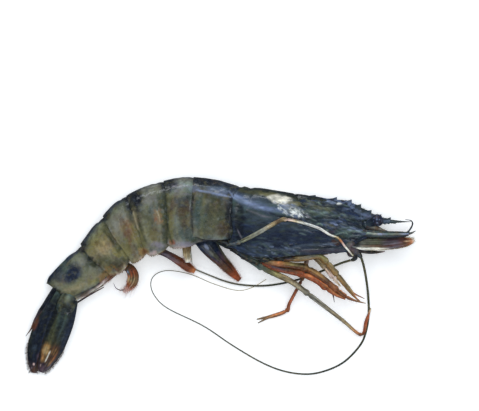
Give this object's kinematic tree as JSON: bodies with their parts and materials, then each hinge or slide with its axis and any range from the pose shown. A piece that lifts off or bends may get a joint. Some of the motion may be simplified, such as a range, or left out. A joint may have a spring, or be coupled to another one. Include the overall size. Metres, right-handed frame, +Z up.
{
  "type": "raw tiger prawn",
  "caption": "Whole raw tiger prawn lying on its left side, with toothed rostrum, legs, pleopods, folded tail fan and long antennal whips.",
  "frame": {"origin": "on the surface that the prawn lies on, below the middle of the part's box", "axes": "+X towards the head, +Y towards the back of the prawn, +Z up out of the surface, from the prawn's left side to its right"},
  "size_m": [0.176, 0.0894, 0.0228],
  "materials": {
    "shell": "wet chitin shell, olive grey and navy with satin gloss",
    "whip": "dry horn-like bristle, olive brown"
  },
  "bodies": {
    "root": {"prawn": "shell", "antenna_whip_right": "whip", "antenna_whip_left": "whip"}
  },
  "joints": []
}
